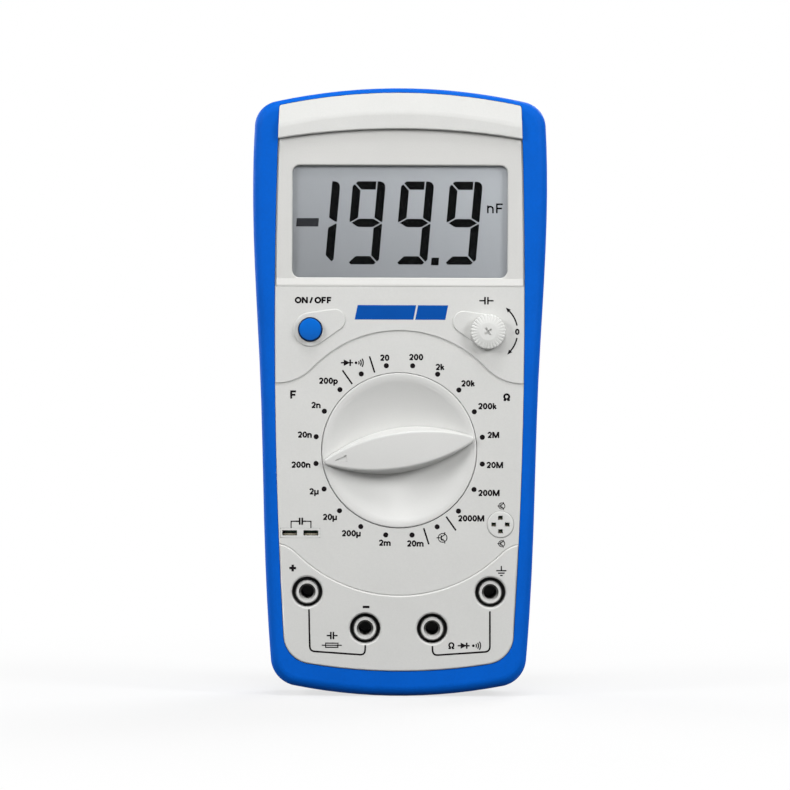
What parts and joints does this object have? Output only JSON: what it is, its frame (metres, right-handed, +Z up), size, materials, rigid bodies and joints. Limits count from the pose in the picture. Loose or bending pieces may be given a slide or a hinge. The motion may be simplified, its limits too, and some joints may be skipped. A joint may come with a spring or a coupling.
{
  "type": "component tester",
  "caption": "Hand-held component tester in a rubber boot: digital display, rotary range dial, power button, zero adjust knob, test jacks, component sockets and a tilt stand.",
  "frame": {"origin": "middle of the tester's width and depth, at the lowest point of its lower end, which is what it stands on when it is held up on end as in the picture", "axes": "+X to the right as the face is read, +Y from the face to the back, +Z up to the display end"},
  "size_m": [0.0914, 0.0316, 0.189],
  "materials": {
    "boot_rubber": "satin moulded rubber",
    "case_plastic": "fine moulded grain",
    "trim_plastic": "fine moulded grain",
    "dial_plastic": "satin",
    "knob_plastic": "satin",
    "button_plastic": "gloss",
    "window_plastic": "clear",
    "display_glass": "smooth",
    "inner_plastic": "moulded",
    "socket_plastic": "moulded",
    "strip_rubber": "matt",
    "board_laminate": "lacquered laminate",
    "brass": "plated",
    "steel": "bright",
    "fuse_glass": "clear",
    "battery_jacket": "printed jacket",
    "lead_insulation": "smooth",
    "capacitor_sleeve": "shrink sleeve"
  },
  "bodies": {
    "case": {"boot": "boot_rubber", "front_cover": "case_plastic", "rear_cover": "case_plastic", "display_frame": "trim_plastic", "display_window": "window_plastic", "display_panel": "display_glass", "panel_holder": "inner_plastic", "connector_strip": "strip_rubber", "main_board": "board_laminate", "power_switch": "inner_plastic", "switch_spring": "steel", "adjuster_body": "inner_plastic", "capacitor_socket": "socket_plastic", "capacitor_contacts": "brass", "transistor_socket": "socket_plastic", "transistor_contacts": "brass", "fuse_tube": "fuse_glass", "fuse_caps": "steel", "fuse_clips": "brass", "battery": "battery_jacket", "battery_snap": "inner_plastic", "battery_leads": "lead_insulation", "battery_door": "case_plastic", "door_screw": "steel", "buzzer": "inner_plastic", "measuring_chip": "inner_plastic", "capacitors": "capacitor_sleeve", "case_screws": "steel", "board_screws": "steel", "jack_capacitor_plus": "brass", "jack_capacitor_minus": "brass", "jack_ohm": "brass", "jack_common": "brass"},
    "dial": {"range_dial": "dial_plastic", "contact_rotor": "inner_plastic", "wiper_contacts": "brass", "detent_balls": "steel", "detent_springs": "steel", "dial_screw": "steel"},
    "button": {"power_button": "button_plastic", "switch_plunger": "inner_plastic"},
    "zero_adjust": {"zero_knob": "knob_plastic", "adjuster_shaft": "inner_plastic"},
    "stand": {"tilt_stand": "case_plastic"}
  },
  "joints": [
    {"name": "dial_turn", "type": "hinge", "parent": "case", "child": "dial", "pos_m": [0, 0, 0.0764], "axis": [0, -1, 0], "continuous": true},
    {"name": "button_press", "type": "slide", "parent": "case", "child": "button", "axis": [0, 1, 0], "range_m": [0, 0.0022], "stiffness_N_per_m": 900, "springref_m": -0.001, "deforming": ["switch_spring"]},
    {"name": "zero_turn", "type": "hinge", "parent": "case", "child": "zero_adjust", "pos_m": [0.0274, 0, 0.1133], "axis": [0, -1, 0], "range_deg": [-135, 135]},
    {"name": "stand_swing", "type": "hinge", "parent": "case", "child": "stand", "pos_m": [0, 0.01345, 0.11], "axis": [1, 0, 0], "range_deg": [0, 40]}
  ]
}
